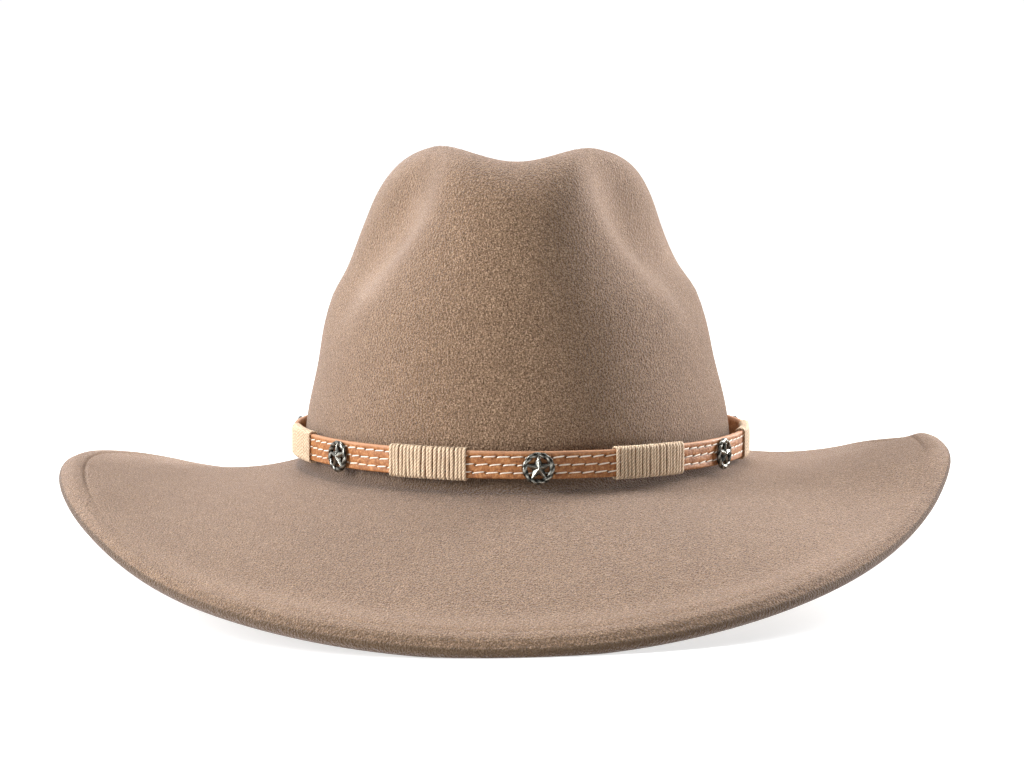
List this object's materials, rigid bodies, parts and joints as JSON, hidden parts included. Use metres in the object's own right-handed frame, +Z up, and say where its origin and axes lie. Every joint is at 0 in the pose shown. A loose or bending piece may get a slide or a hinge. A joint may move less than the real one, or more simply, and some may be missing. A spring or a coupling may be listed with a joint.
{
  "type": "felt western hat",
  "caption": "Wide-brimmed felt hat with a creased, pinched crown and a stitched leather band with cord wraps and metal star conchos.",
  "frame": {"origin": "middle of the hat's outline at the height of the surface that it rests on", "axes": "+Z up, -Y is the front of the hat, +X is the side to the right in a front view"},
  "size_m": [0.3552, 0.3914, 0.1741],
  "materials": {
    "felt": "matt taupe wool felt with a short nap",
    "leather": "satin tan leather with three rows of pale stitches",
    "cord": "waxed twisted cord, cream",
    "metal": "cast, antiqued, dark in the hollows"
  },
  "bodies": {
    "root": {"felt_body": "felt", "band_strap": "leather", "cord_wrap_1": "cord", "cord_wrap_2": "cord", "cord_wrap_3": "cord", "cord_wrap_4": "cord", "cord_wrap_5": "cord", "cord_wrap_6": "cord", "cord_wrap_7": "cord", "concho_1": "metal", "concho_2": "metal", "concho_3": "metal", "concho_4": "metal", "concho_5": "metal", "concho_6": "metal", "concho_7": "metal"}
  },
  "joints": []
}
